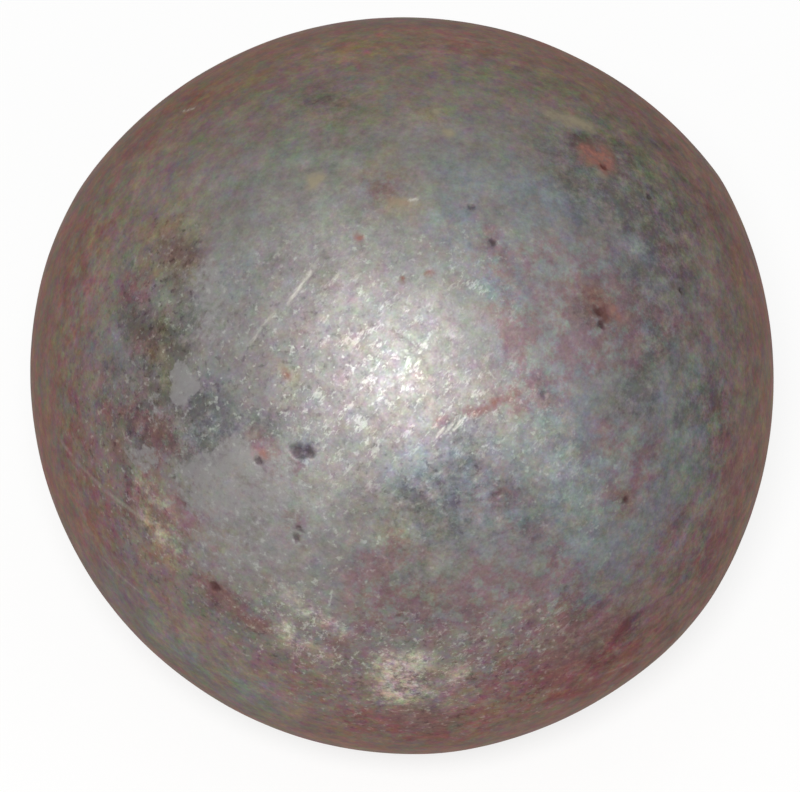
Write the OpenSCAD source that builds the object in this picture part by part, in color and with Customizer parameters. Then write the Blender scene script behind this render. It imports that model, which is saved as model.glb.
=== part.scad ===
// Worn, pitted steel ball, forged as one solid piece, with no moving parts.
//
// The origin is the middle of the ball as it was forged, and +Z is up.
// A place on the skin is [right, up], in degrees from the middle of the marked face, as it looks to
// someone who faces that face: [90, 0] is its right edge and [0, 90] is its top edge.

/* [Ball] */
// Diameter across the forged skin, where it is unworn
forged_d = 80; // [50:0.5:125]
// Angle of the marked face's middle above the level
face_rise = 50; // [0:5:90]

/* [Flat worn at the top edge] */
// Place of the flat's middle
top_flat_at = [0, 90]; // [-180:1:180]
// Depth worn off at the middle
top_flat_depth = 1.4; // [0.1:0.1:2]
// Angle across the flat, from the ball's middle
top_flat_spread = 118; // [60:1:150]

/* [Flat worn at the right edge] */
// Place of the flat's middle
right_flat_at = [90, -1]; // [-180:1:180]
// Depth worn off at the middle
right_flat_depth = 0.75; // [0.1:0.05:1.5]
// Angle across the flat, from the ball's middle
right_flat_spread = 71; // [60:1:150]

/* [Flat worn at the lower right edge] */
// Place of the flat's middle
low_flat_at = [90, -70]; // [-180:1:180]
// Depth worn off at the middle
low_flat_depth = 0.35; // [0.1:0.05:1]
// Angle across the flat, from the ball's middle
low_flat_spread = 52; // [45:1:150]

/* [Flat worn at the lower left edge] */
// Place of the flat's middle
left_flat_at = [-90, -46]; // [-180:1:180]
// Depth worn off at the middle
left_flat_depth = 0.8; // [0.1:0.1:2]
// Angle across the flat, from the ball's middle
left_flat_spread = 129; // [60:1:150]

/* [Flat worn behind] */
// Place of the flat's middle
back_flat_at = [160, 20]; // [-180:1:180]
// Depth worn off at the middle
back_flat_depth = 0.6; // [0.1:0.1:2]
// Angle across the flat, from the ball's middle
back_flat_spread = 80; // [60:1:150]

/* [Pits] */
// Width of a wide pit at its mouth
wide_pit_mouth = 1.6; // [1:0.1:3]
// Depth of a wide pit
wide_pit_depth = 0.4; // [0.1:0.05:0.5]
// Width of a middling pit at its mouth
middling_pit_mouth = 1.2; // [0.8:0.1:2.4]
// Depth of a middling pit
middling_pit_depth = 0.3; // [0.1:0.05:0.4]
// Width of a small pit at its mouth
small_pit_mouth = 0.8; // [0.5:0.1:1.6]
// Depth of a small pit
small_pit_depth = 0.2; // [0.1:0.05:0.25]
// Number of middling pits spread over the far side
far_pits = 7; // [0:1:20]

/* [Hidden] */

// Each flat is [place, depth, spread].
FLATS = [
    [top_flat_at, top_flat_depth, top_flat_spread],
    [right_flat_at, right_flat_depth, right_flat_spread],
    [low_flat_at, low_flat_depth, low_flat_spread],
    [left_flat_at, left_flat_depth, left_flat_spread],
    [back_flat_at, back_flat_depth, back_flat_spread]
];

// Places of the pits on the marked face.
WIDE_PITS = [[-15.2, -10]];
MIDDLING_PITS = [[-13.7, -10.2], [29.1, 9.6], [-34.1, -31.4]];
SMALL_PITS = [[29.3, 7.8], [10.5, 25.2], [13.4, 19.7], [36.3, 32.3], [43.9, 27.5], [45.3, 13],
              [20, -2.1], [13.7, -16.6], [35, -17.4], [28.3, -31.2], [-1, -36], [-16.1, -21.5],
              [-16.6, -22.8], [-21.3, -11.6], [-35.5, -18], [-43.4, -22]];

// Turn between one far pit and the next, which spreads any number of them evenly.
FAR_TURN = 137.5;
// Far pits lie further than this from the marked face's middle, as a share of the way to the back.
FAR_START = 0.55;

SKIN_SIDES = 144;
PIT_SIDES = 24;

// Direction from the ball's middle to a place on its skin.
function way(at) =
    let (
        ahead = cos(at[0]) * cos(at[1]),
        above = sin(at[1])
    )
    [
        sin(at[0]) * cos(at[1]),
        above * sin(face_rise) - ahead * cos(face_rise),
        above * cos(face_rise) + ahead * sin(face_rise)
    ];

// A flat is part of a larger sphere. These are that sphere's radius, and how far its middle lies
// beyond the ball's, on the side away from the flat.
function flat_shift(flat) =
    let (
        forged = forged_d / 2,
        worn = forged - flat[1]
    )
    (forged * forged - worn * worn) / (2 * (worn - forged * cos(flat[2] / 2)));
function flat_radius(flat) = forged_d / 2 - flat[1] + flat_shift(flat);

// Distance from the ball's middle to a flat's sphere, and to the worn skin, along a direction.
function flat_reach(flat, dir) =
    let (
        shift = flat_shift(flat),
        along = dir * way(flat[0]),
        radius = flat_radius(flat)
    )
    sqrt(radius * radius - shift * shift * (1 - along * along)) - shift * along;
function skin_reach(dir) = min(forged_d / 2, min([for (flat = FLATS) flat_reach(flat, dir)]));

// Radius of the sphere that cuts a pit of this mouth and depth.
function pit_radius(mouth, depth) = (mouth * mouth / 4 + depth * depth) / (2 * depth);

// Place of one far pit: each is a little further back and a fixed turn on from the last.
function far_place(i) =
    let (
        ahead = 1 - 2 * (FAR_START + (1 - FAR_START) * (i + 0.5) / far_pits),
        turn = FAR_TURN * i,
        aside = sqrt(1 - ahead * ahead)
    )
    [atan2(aside * cos(turn), ahead), asin(aside * sin(turn))];

module forged_sphere() {
    sphere(d = forged_d, $fn = SKIN_SIDES);
}

module flat_sphere(flat) {
    translate(-flat_shift(flat) * way(flat[0]))
        sphere(r = flat_radius(flat), $fn = SKIN_SIDES);
}

module worn_body() {
    intersection() {
        forged_sphere();
        intersection_for (flat = FLATS) flat_sphere(flat);
    }
}

module pits(places, mouth, depth) {
    radius = pit_radius(mouth, depth);
    for (at = places) {
        dir = way(at);
        translate((skin_reach(dir) + radius - depth) * dir)
            sphere(r = radius, $fn = PIT_SIDES);
    }
}

module ball() {
    color("dimgray")
    difference() {
        worn_body();
        pits(WIDE_PITS, wide_pit_mouth, wide_pit_depth);
        pits(MIDDLING_PITS, middling_pit_mouth, middling_pit_depth);
        pits(SMALL_PITS, small_pit_mouth, small_pit_depth);
        if (far_pits > 0)
            pits([for (i = [0 : far_pits - 1]) far_place(i)], middling_pit_mouth, middling_pit_depth);
    }
}

ball();
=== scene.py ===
"""Worn, scaled and rusted forged steel ball, with a pale floor, soft light and a camera."""
import logging
import math
from dataclasses import dataclass
from enum import Enum

import bmesh
import bpy
import numpy as np
from mathutils import Euler, Matrix, Vector, noise


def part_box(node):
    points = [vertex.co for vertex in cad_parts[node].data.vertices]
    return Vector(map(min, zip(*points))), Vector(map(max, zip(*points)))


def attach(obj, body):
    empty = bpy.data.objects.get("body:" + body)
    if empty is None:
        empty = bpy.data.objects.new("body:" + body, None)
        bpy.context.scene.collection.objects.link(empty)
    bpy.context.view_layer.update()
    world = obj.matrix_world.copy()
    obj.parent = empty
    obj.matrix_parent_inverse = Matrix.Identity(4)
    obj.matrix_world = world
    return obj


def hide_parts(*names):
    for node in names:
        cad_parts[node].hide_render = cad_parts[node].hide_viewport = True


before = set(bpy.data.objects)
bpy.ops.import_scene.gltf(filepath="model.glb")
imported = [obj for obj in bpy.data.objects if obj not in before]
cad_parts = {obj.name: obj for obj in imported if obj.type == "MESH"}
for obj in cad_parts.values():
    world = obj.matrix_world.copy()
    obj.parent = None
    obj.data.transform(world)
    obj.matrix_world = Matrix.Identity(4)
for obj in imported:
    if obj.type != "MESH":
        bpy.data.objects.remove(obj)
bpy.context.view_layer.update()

LOG = logging.getLogger("steel_ball")

MM = 0.001
CAD_NODE = "ball"
BODY = "root"
SLOT = "forged_steel"

# Angle of the marked face's middle above the level, in radians.
FACE_RISE = math.radians(50.0)

# A place on the skin is (right, up), in degrees from the middle of the marked face.
Place = tuple[float, float]
Colour = tuple[float, float, float]

# What a node's socket can take.
Socket = bpy.types.NodeSocket
Feed = Socket | float | Colour


def way(place: Place) -> np.ndarray:
    """Direction from the ball's middle to a place on its skin.

    Args:
        place: degrees right of and above the marked face's middle.

    Returns:
        A unit vector.
    """
    right, up = (math.radians(angle) for angle in place)
    ahead = math.cos(right) * math.cos(up)
    above = math.sin(up)
    return np.array([
        math.sin(right) * math.cos(up),
        above * math.sin(FACE_RISE) - ahead * math.cos(FACE_RISE),
        above * math.cos(FACE_RISE) + ahead * math.sin(FACE_RISE),
    ])


def face_axes() -> tuple[Vector, Vector]:
    """Directions right and up, as someone who faces the marked face sees them."""
    return Vector((1.0, 0.0, 0.0)), Vector((0.0, math.sin(FACE_RISE), math.cos(FACE_RISE)))


def smooth_step(low: float, high: float, value: np.ndarray) -> np.ndarray:
    """Eased ramp from 0 at low to 1 at high.

    Args:
        low: value where the ramp starts.
        high: value where it ends. It may be less than low.
        value: what is measured.

    Returns:
        The ramp's height at each value.
    """
    share = np.clip((value - low) / (high - low), 0.0, 1.0)
    return share * share * (3.0 - 2.0 * share)


class Layer(Enum):
    """What lies on the skin. Each is a mesh attribute from 0, none, to 1, full cover."""

    # Pale scale, and at the face's middle a painted highlight.
    PALE = "pale_scale_and_highlight"
    # Dark scale, and down the right side a painted shade.
    DARK = "dark_scale_and_shade"
    BLUE = "blue_tarnish"
    YELLOW = "yellow_tarnish"
    RED = "red_tarnish"
    OLIVE = "olive_tarnish"
    CRIMSON = "crimson_bloom"
    BEIGE = "beige_bloom"
    ISLAND = "smooth_scale"
    # Rust film; where it grows towards the outline it is partly painted rim reflection.
    FILM_AND_RIM_REFLECTION = "rust_film_and_rim_reflection"
    RUST = "red_rust"
    OCHRE = "ochre_rust"
    # Worn bright metal; the cream patches near the bottom of the marked face are painted reflection.
    WORN_AND_REFLECTION = "worn_and_reflection"
    # Bare metal strokes; their brightened colour is painted highlight at the face's middle and painted
    # reflection near its bottom.
    STROKE = "burnished_and_highlight_strokes"
    # Bare metal specks, brightened in colour as painted glints.
    GLINT = "bare_specks_and_painted_glints"
    PORE = "dark_pores"
    SCRATCH = "scratched"
    PIT = "pit_floor"


@dataclass(frozen=True)
class Patch:
    """A patch on the skin, drawn as one stroke with round ends.

    Args:
        start: where the stroke starts.
        end: where it ends.
        width: millimetres across the stroke, at half its cover.
        cover: cover along its middle, from 0 to 1.
        soft: share of the half width over which its edge fades, to each side.
    """

    start: Place
    end: Place
    width: float
    cover: float
    soft: float = 1.0

    def cover_at(self, spots: np.ndarray, radius: float) -> np.ndarray:
        """Cover that the patch gives each spot.

        Args:
            spots: unit vectors.
            radius: the ball's radius.

        Returns:
            The cover, from 0 to 1.
        """
        first = way(self.start)
        along = way(self.end) - first
        length = float(along @ along)
        share = np.clip((spots - first) @ along / length, 0.0, 1.0) if length else 0.0
        nearest = first + np.multiply.outer(share, along) if length else first
        nearest = nearest / np.linalg.norm(nearest, axis=-1, keepdims=True)
        gap = np.linalg.norm(spots - nearest, axis=-1) * radius
        half = self.width * MM / 2.0
        return self.cover * smooth_step(half * (1.0 + self.soft), half * (1.0 - self.soft), gap)


@dataclass(frozen=True)
class WearFlat:
    """A place where the ball is worn to a larger radius.

    Args:
        place: the flat's middle.
        depth: metres worn off there.
        spread: degrees across it, from the ball's middle.
    """

    place: Place
    depth: float
    spread: float

    def reach(self, spots: np.ndarray, forged: float) -> np.ndarray:
        """Distance from the ball's middle to the flat's sphere.

        Args:
            spots: unit vectors to measure along.
            forged: radius of the unworn ball.

        Returns:
            The distance along each vector.
        """
        worn = forged - self.depth
        edge = forged * math.cos(math.radians(self.spread) / 2.0)
        shift = (forged ** 2 - worn ** 2) / (2.0 * (worn - edge))
        along = spots @ way(self.place)
        radius = worn + shift
        return np.sqrt(radius ** 2 - shift ** 2 * (1.0 - along ** 2)) - shift * along


@dataclass(frozen=True)
class Pit:
    """A round pit, whose rim is eased a little past its mouth.

    Args:
        place: the pit's middle.
        mouth: metres across.
        depth: metres deep.
        dark: how dark its floor is, from 0 to 1.
        bowl_rim: where its wall ends, as a share of the mouth.
        bowl_depth: share of its depth that the eased bowl has.
        floor_rim: where its dark floor ends, as a share of the mouth.
        floor_flat: where the floor is fully dark, as a share of the mouth.
    """

    place: Place
    mouth: float
    depth: float
    dark: float
    bowl_rim: float = 0.65
    bowl_depth: float = 0.75
    floor_rim: float = 0.7
    floor_flat: float = 0.25

    def drop(self, gap: np.ndarray) -> np.ndarray:
        """How far the skin lies below its worn form.

        Args:
            gap: distance from the pit's middle.

        Returns:
            The drop at each distance.
        """
        bowl = np.clip(1.0 - (gap / (self.bowl_rim * self.mouth)) ** 2, 0.0, 1.0)
        return self.bowl_depth * self.depth * bowl * bowl

    def floor(self, gap: np.ndarray) -> np.ndarray:
        """How dark the pit is, at each distance from its middle."""
        return self.dark * smooth_step(self.floor_rim * self.mouth, self.floor_flat * self.mouth, gap)


@dataclass(frozen=True)
class Scratch:
    """A straight scratch with a shallow groove.

    Args:
        start: one end.
        end: the other end.
        width: millimetres across.
        depth: millimetres deep.
        bright: how much bare metal shows in it, from 0 to 1.
        spread: how many times its width the finely divided skin around it has.
        margin: millimetres that this has besides.
    """

    start: Place
    end: Place
    width: float = 0.4
    depth: float = 0.02
    bright: float = 0.9
    spread: float = 1.6
    margin: float = 0.5

    def strip(self) -> Patch:
        """The strip of skin that the scratch takes up."""
        return Patch(self.start, self.end, self.width, 1.0, soft=0.7)

    def surround(self) -> Patch:
        """A wider strip, in which the skin is divided more finely."""
        return Patch(self.start, self.end, self.spread * self.width + self.margin, 1.0, soft=0.1)


FORGED_RADIUS = 40.0 * MM

FLATS = (
    WearFlat((0, 90), 1.4 * MM, 118),
    WearFlat((90, -1), 0.75 * MM, 71),
    WearFlat((90, -70), 0.35 * MM, 52),
    WearFlat((-90, -46), 0.8 * MM, 129),
    WearFlat((160, 20), 0.6 * MM, 80),
)

# Mouth and depth of each kind of pit.
WIDE, MIDDLING, SMALL = (1.6 * MM, 0.4 * MM), (1.2 * MM, 0.3 * MM), (0.8 * MM, 0.2 * MM)

# Pits of the marked face: their size, how dark their floors are, and their places.
MARKED_PITS = (
    (WIDE, 0.65, ((-15.2, -10.0),)),
    (MIDDLING, 0.8, ((-13.7, -10.2), (29.1, 9.6), (-34.1, -31.4))),
    (SMALL, 1.0, (
        (29.3, 7.8), (10.5, 25.2), (13.4, 19.7), (36.3, 32.3), (43.9, 27.5), (45.3, 13),
        (35, -17.4), (-16.1, -21.5), (-16.6, -22.8), (-21.3, -11.6),
    )),
    (SMALL, 0.4, ((20, -2.1), (13.7, -16.6), (28.3, -31.2), (-1, -36), (-35.5, -18), (-43.4, -22))),
)

# Pits of the far side: how many, how dark, the turn between them, and where they start, as a share
# of the way to the back.
FAR_PITS = 7
FAR_DARK = 0.7
FAR_TURN = 137.5
FAR_START = 0.55

SCRATCHES = (
    Scratch((-22.2, 5.0), (-20.6, 7.2), 0.3, 0.012, 0.4),
    Scratch((-20.4, 7.6), (-18.6, 9.4), 0.25, 0.010, 0.3),
    Scratch((-16.7, 10.7), (-13.6, 15.2), 0.35, 0.015, 0.5),
    Scratch((-11.2, 15.5), (-10.4, 17.0), 0.3, 0.010, 0.3),
    Scratch((-10.2, 13.8), (-9.2, 15.2), 0.3, 0.010, 0.3),
    *(
        Scratch((right, 0.4 * right - 9.8), (right + 1.0, 0.4 * right - 8.5), 0.25, 0.008, 0.5)
        for right in (4.6, 5.8, 7.0)
    ),
    Scratch((-2.2, 7.5), (3.0, 4.3), 0.25, 0.03, 0.0),
    Scratch((-63.9, -9.1), (-52.3, -16.5), 0.5, 0.02, 0.16),
    Scratch((-52.3, -16.5), (-41.1, -22.3), 0.5, 0.02, 0.2),
    Scratch((-63.1, -27.3), (-53.9, -33.9), 0.35, 0.02, 0.15),
    Scratch((47.7, -49.9), (58, -47), 0.4, 0.02, 0.15),
    Scratch((-52.1, 44.6), (-50.4, 44.9), 0.35, 0.012, 0.9),
    Scratch((-53.4, 44.6), (-52.5, 44.2), 0.3, 0.010, 0.6),
    Scratch((0.9, 26.1), (1.9, 26.3), 0.3, 0.010, 0.6),
)


def spot(place: Place, width: float, cover: float, soft: float = 1.0) -> Patch:
    """A round patch.

    Args:
        place: its middle.
        width: millimetres across, at half its cover.
        cover: cover at its middle.
        soft: as a patch's.

    Returns:
        The patch.
    """
    return Patch(place, place, width, cover, soft)


# The marks of each layer.
PATCHES: dict[Layer, tuple[Patch, ...]] = {
    Layer.PALE: (
        spot((-38, 27), 5, 0.3), Patch((-25, 60), (25, 62), 8, 0.5), spot((37, 19), 1.6, 0.7),
        Patch((-8, -57), (14, -56), 6, 0.4), Patch((-60, 10), (-52, 35), 8, 0.3),
        spot((19.9, -32.9), 2.2, 0.9, 0.6), spot((19.5, -5.5), 5, 0.35),
        Patch((-28, -12), (-14, -14), 8, 0.4), Patch((-28, -20), (-18, -29), 12, 0.35),
        Patch((17, -3), (24, -12), 5, 0.5), Patch((26, -15), (28, -22), 6, 0.5), spot((5, 41), 4, 0.4),
        Patch((20, -40), (26, -38), 4, 0.4), Patch((-52, -42), (-40, -54), 9, 0.5),
        # The last patch below, by the face's middle, is painted highlight.
        Patch((-14, 22), (-12, 13), 10, 0.25), Patch((-7, 3), (3, -5), 11, 0.3),
    ),
    Layer.DARK: (
        Patch((33, 30), (43, 24), 9, 0.6), Patch((44, 18), (38, 15), 6, 0.4), spot((35, -2), 5, 0.7),
        Patch((48, -2), (50, -4), 6, 0.5), spot((28, 9), 4, 0.6), spot((20, -2), 3, 0.5),
        Patch((9, -8), (8, -12), 4, 0.5), Patch((0.5, -16.5), (4.5, -15.2), 3.6, 0.7),
        Patch((6, -18), (7, -20), 2.5, 0.5), Patch((-2, -24), (4, -30), 9, 0.35),
        Patch((-31, -4), (-27, -7), 5, 0.85), Patch((-35, -9), (-31, -10), 3, 0.7),
        Patch((-40, 7), (-36, 1), 4.5, 0.9), Patch((-34.5, 18), (-33, 6), 2.5, 0.5),
        Patch((-40, 21), (-36, 18), 4, 0.5), spot((-39, -6), 5, 0.85),
        Patch((-44, -13), (-47, -19), 4, 0.4), spot((-5, 28), 3, 0.2), spot((13, 19), 3, 0.3),
        Patch((-37, -33), (-30, -36), 4, 0.4), Patch((36, -38), (44, -42), 7, 0.6),
        Patch((6, -60), (12, -62), 5, 0.6), spot((33.5, 37.3), 2.5, 0.6),
        Patch((-22, -6), (-19, -6), 2.5, 0.5), Patch((-15.5, -10.0), (-14.0, -10.2), 1.0, 0.4, 0.8),
        spot((4, -22), 5, 0.15), Patch((-37, 5), (-35.2, 3.2), 2.6, 0.7),
        # The first patch below, a broad band down the right side, is painted shade.
        Patch((52, 32), (52, -32), 26, 0.35), spot((42, 36), 5, 0.5), Patch((40, 8), (38, 5), 5, 0.6),
        Patch((12, -18), (20, -20), 8, 0.4), Patch((-48, -1), (-45, -6), 6, 0.5),
        Patch((-42, 13), (-44, 9), 4, 0.4), Patch((-17, 46), (-14, 45), 5, 0.5),
    ),
    Layer.BLUE: (
        Patch((36, 28), (42, -25), 20, 0.35), Patch((23, -5), (27, -18), 6, 0.8),
        Patch((28, -22), (34, -26), 7, 0.8), Patch((36, -26), (42, -20), 5, 0.6),
        Patch((45, 0), (48, -14), 7, 0.8), Patch((20, 28), (25, 25), 6, 0.6),
        Patch((10, 31), (8, 24), 5, 0.5), Patch((13, -12), (18, -17), 6, 0.5),
        Patch((3, -13), (10, -19), 8, 0.5), spot((-26, 16), 4, 0.4), Patch((-52, 4), (-45, 3), 4, 0.5),
        Patch((-31, -2), (-29, -6), 5, 0.35), Patch((-66, -36), (-48, -56), 11, 1.0),
        spot((-52, -27), 5, 0.5), spot((-14.2, -10.2), 2.0, 0.8), spot((10.5, 25.2), 1.6, 1.0),
        Patch((12, 17), (15, 14), 5, 0.7), spot((38, 20), 4, 0.7),
    ),
    Layer.YELLOW: (
        Patch((-42, 23), (-36, 18), 6, 0.9), spot((-60, 19), 6, 0.5),
        Patch((35.7, 40.6), (38.7, 39.6), 2.2, 0.6), spot((6.2, 42.4), 3, 0.6), spot((-17, 1), 3, 0.7),
        Patch((-38, 6), (-37, 0), 4, 0.7), spot((-38, -8), 3, 0.4), spot((46.4, 34.5), 3, 0.5),
        Patch((-62, 46), (-44, 52), 7, 0.5), Patch((-24, 62), (-4, 62), 6, 0.7),
        Patch((-12, 43), (-4, 43), 6, 0.4), Patch((-4, 31), (-1, 26), 5, 0.6),
        Patch((-4, -20), (0, -22), 4, 0.5), Patch((5, -25), (-1, -32), 7, 0.2),
        Patch((-42, -16), (-43, -25), 4, 0.6), Patch((27, 13), (31, 8), 3, 0.5),
    ),
    Layer.RED: (
        Patch((27, 9), (34, 8), 7, 0.7), Patch((4.5, -6.8), (17.5, -1.3), 0.9, 0.65),
        spot((25, -27), 5, 0.7), Patch((-4, -33), (11, -35), 6, 0.7),
        Patch((28, -47), (50, -47), 11, 0.9), Patch((32.9, -48.2), (38.7, -47.3), 2.4, 0.9),
        Patch((38.7, -47.3), (44.7, -43.5), 2.4, 0.9), Patch((44.7, -43.5), (44.2, -40), 2.0, 0.9),
        Patch((40.5, -54.3), (45, -52.7), 1.8, 0.9), Patch((-6, -62), (18, -64), 7, 0.8),
        Patch((-36, -31), (-28, -37), 3, 0.6), Patch((-48, -22), (-42, -27), 5, 0.4),
        Patch((-42, -6), (-38, -9), 3.5, 0.6), spot((-47, -3), 4, 0.5), spot((-43.5, 12.4), 3.5, 0.9),
        spot((-40, 5), 4, 0.4), spot((-16, -21.5), 2.5, 0.5), spot((-4, 28), 3, 0.5),
        spot((13, 19.5), 2.5, 0.5), spot((44, 18), 4, 0.4), spot((33.5, 37.3), 2, 0.8),
        Patch((34, 34.5), (37, 34), 3.4, 0.6), Patch((-36, -7), (-32, -9), 3, 0.25),
        Patch((18, 6), (27, 3), 6, 0.4), Patch((16, -1), (20, -2), 4, 0.6),
        Patch((32, -9), (37, -12), 5, 0.6), spot((33.5, -17), 3.5, 0.7),
        Patch((52, -4), (54, -9), 6, 0.5), Patch((62, -14), (59, -26), 7, 0.6),
        Patch((49, -21), (45, -28), 5, 0.5), Patch((-3, -26), (-1, -34), 6, 0.6),
        Patch((14, -29), (28, -36), 6, 0.5), Patch((31, -38), (28, -49), 9, 0.9),
        Patch((36, -43), (26, -53), 7, 0.6), Patch((-26, -51), (-20, -54), 6, 0.5),
        Patch((-44, -15), (-38, -20), 5, 0.6), Patch((-41, -6), (-38, -8), 4, 0.7),
        Patch((-60, 18), (-56, 12), 5, 0.4), Patch((-12, -41), (-7, -44), 5, 0.4),
        Patch((-20, -9), (-17, -13), 3, 0.4), Patch((12, -16), (18, -20), 4, 0.4),
        spot((-4, 28.5), 3.5, 0.25), spot((20.5, 19), 3.5, 0.5), Patch((30, 15), (25, 16), 5, 0.4),
        Patch((40, 8), (48, 9), 4, 0.4), spot((23, 62), 5, 0.6), Patch((-62, 38), (-52, 46), 5, 0.4),
        Patch((15, 15), (16, 7), 4, 0.4), Patch((-60, 22), (-59, -26), 9, 0.4),
    ),
    Layer.OLIVE: (
        Patch((-35, 38), (35, 38), 26, 0.35), Patch((-14, 38), (-10, 35), 7, 0.6),
        Patch((42, 47), (47, 30), 8, 0.8), spot((28, 52), 6, 0.6), spot((-53, 25), 5, 0.6),
        Patch((-37, 8), (-36, 1), 4, 0.6), Patch((-62, 4), (-60, -3), 6, 0.6),
        Patch((37, 2), (46, 3), 5, 0.6), Patch((46, -7), (49, -13), 7, 0.7),
        Patch((24, -14), (33, -22), 7, 0.5), spot((17, -6), 4, 0.5),
        Patch((-62, -42), (-48, -56), 9, 0.8), Patch((-1, -17), (5, -23), 7, 0.2),
        spot((13, 15), 5, 0.5),
    ),
    Layer.CRIMSON: (
        Patch((32.9, -48.2), (38.7, -47.3), 2.4, 0.8), Patch((38.7, -47.3), (44.7, -43.5), 2.4, 0.8),
        Patch((44.7, -43.5), (44.2, -39), 2.0, 0.8), Patch((40.5, -54.3), (45, -52.7), 1.8, 0.6),
        Patch((29.2, 9.4), (29.4, 7.9), 1.4, 0.6), Patch((30, -51), (51, -42), 10, 0.4),
    ),
    Layer.BEIGE: (
        Patch((30.4, 43.2), (33.6, 42.2), 1.4, 0.8), Patch((35.1, 41.3), (37.9, 40.1), 1.6, 1.0),
        spot((-15.2, 29.7), 1.8, 1.0, 0.5), Patch((-2.4, 25.7), (0.2, 25.9), 0.9, 0.7),
        spot((6.2, 42.4), 0.9, 1.0, 0.6), spot((8.0, 38.3), 1.2, 1.0, 0.6),
        spot((35.4, 29.9), 1.0, 0.7), Patch((-37.8, 4.6), (-37.2, 3.6), 1.0, 0.5),
    ),
    Layer.ISLAND: (
        Patch((-33.2, 0.6), (-32.9, -1.4), 2.7, 1.0, 0.2),
        Patch((-32.8, -0.8), (-31.6, -1.1), 1.9, 1.0, 0.2),
        Patch((-30.5, 14), (-29.5, 8), 3.5, 0.45, 0.5), Patch((-28, 15), (-26, 8), 4, 0.3, 0.9),
        Patch((-38.2, -3.5), (-38, -5.5), 2.0, 0.4, 0.5),
        Patch((-43.5, -11.8), (-40.8, -11), 2.6, 0.65, 0.4),
        Patch((-31, -13), (-24.5, -10), 3.0, 0.8, 0.3), Patch((-32, -15), (-20, -15), 6, 0.55, 0.6),
        Patch((-30, -22), (-18, -20), 7, 0.35, 1.0), Patch((-32, -28), (-22, -27), 6, 0.3, 1.0),
    ),
    Layer.RUST: (
        spot((28, 11.5), 2.5, 0.5), Patch((-4.5, 28.2), (-3.4, 27.4), 1.8, 0.3),
        spot((-38.5, -7.5), 1.6, 0.5), spot((-34, -32), 1.8, 0.9),
        Patch((-33, -33), (-27, -39), 1.2, 0.6), Patch((35, -17.5), (34.5, -17), 1.6, 0.6),
        Patch((42, -33), (40, -38), 4, 0.4), Patch((31, -41), (36, -45), 5, 0.5),
        Patch((2, -59), (10, -62), 3.5, 0.7), Patch((-37.5, 19), (-34.8, 17), 2.6, 0.4),
        spot((-47, -10), 2.5, 0.5), Patch((60, -20), (62, -8), 4, 0.4), spot((36.4, 32.5), 0.9, 0.5),
        Patch((29.2, 10.1), (29.0, 8.6), 1.8, 0.9), spot((29.4, 7.8), 0.8, 0.8),
        spot((35.6, 34.4), 1.2, 0.2), Patch((-40, 22), (-38.5, 21), 2.2, 0.3),
    ),
    Layer.OCHRE: (
        Patch((34.0, 35.0), (37.2, 35.0), 2.0, 0.6), Patch((33.8, 33.6), (36.4, 33.4), 2.2, 0.6),
        Patch((36.2, 32.3), (36.3, 30.8), 1.0, 0.45), Patch((30.9, 9.4), (31.8, 8.8), 1.2, 0.5),
        Patch((-2, 26.0), (-0.6, 25.8), 0.8, 0.25), spot((-7.2, 21.2), 0.8, 0.8),
        spot((-17.1, 0.7), 0.9, 0.7), spot((3.9, 14.1), 0.6, 0.7), spot((-0.5, 14.2), 0.6, 0.7),
        Patch((9, -5.2), (13, -3.3), 0.6, 0.35), Patch((13, -3.3), (17.3, -1.4), 0.5, 0.25),
        spot((23.6, 62.7), 4, 0.2), spot((-21.2, -10.4), 0.9, 0.7), spot((-39.8, 22.3), 1.6, 0.25),
    ),
    # Worn patches near the bottom of the marked face: partly real wear, partly painted reflection.
    Layer.WORN_AND_REFLECTION: (
        Patch((-23, -38), (-22.8, -41), 1.8, 0.45), Patch((-16.5, -37), (-14.5, -37.2), 1.5, 0.45),
        Patch((-20, -42), (-14, -44), 2.5, 0.25), Patch((-3.5, -44.5), (2.5, -44.5), 2.4, 0.4),
        Patch((-1, -46), (-0.6, -53), 3.6, 0.85), Patch((4, -45), (9, -46), 2.5, 0.15),
        spot((10.9, -47.4), 2.5, 0.3), Patch((-43, -17), (-40, -24), 4, 0.3),
        Patch((-44, -20), (-42, -23), 1.6, 0.4), Patch((-0.8, -46.5), (0.2, -48.6), 2.8, 0.8),
        Patch((2, -49), (8, -51), 3, 0.25), Patch((-21, -31), (-18, -33), 2.2, 0.2),
        Patch((-17, -36), (-12, -39), 1.8, 0.35),
    ),
    # Strokes by the face's middle are painted highlight; those near the bottom are painted reflection on
    # bare metal.
    Layer.STROKE: (
        Patch((-5, 3), (4, -5), 14, 0.41), Patch((-13, -5), (-8, -12), 6, 0.4),
        Patch((-14, 17), (-6, 14), 7, 0.15), Patch((9, 14), (14, 10), 3, 0.5),
        Patch((14, -2), (18, -8), 5, 0.3), Patch((-22, -36), (-18, -44), 6, 0.5),
        Patch((-17, -37), (-14, -39), 4, 0.5), Patch((-14, -44), (6, -47), 7, 0.35),
        Patch((2, -40), (8, -42), 5, 0.4), Patch((14, -42), (27, -39), 5, 0.4),
        Patch((24, -12), (28, -16), 5, 0.25), Patch((-4, -43), (2, -50), 6, 0.7),
        Patch((-24, -36), (-22, -42), 3, 0.6), Patch((-17, -36), (-15, -38), 3, 0.6),
        Patch((-16, -43), (-10, -45), 3, 0.5), Patch((4, -44), (12, -50), 4, 0.5),
        Patch((20, -44), (26, -38), 4, 0.5),
    ),
    # Specks whose brightness is painted glint.
    Layer.GLINT: (
        Patch((-36, 10), (-12, 2), 14, 0.5), Patch((-50, -6), (-20, -2), 12, 0.5),
        Patch((-28, -18), (-8, -26), 16, 0.4), Patch((-4, 4), (6, -8), 20, 0.24),
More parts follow.
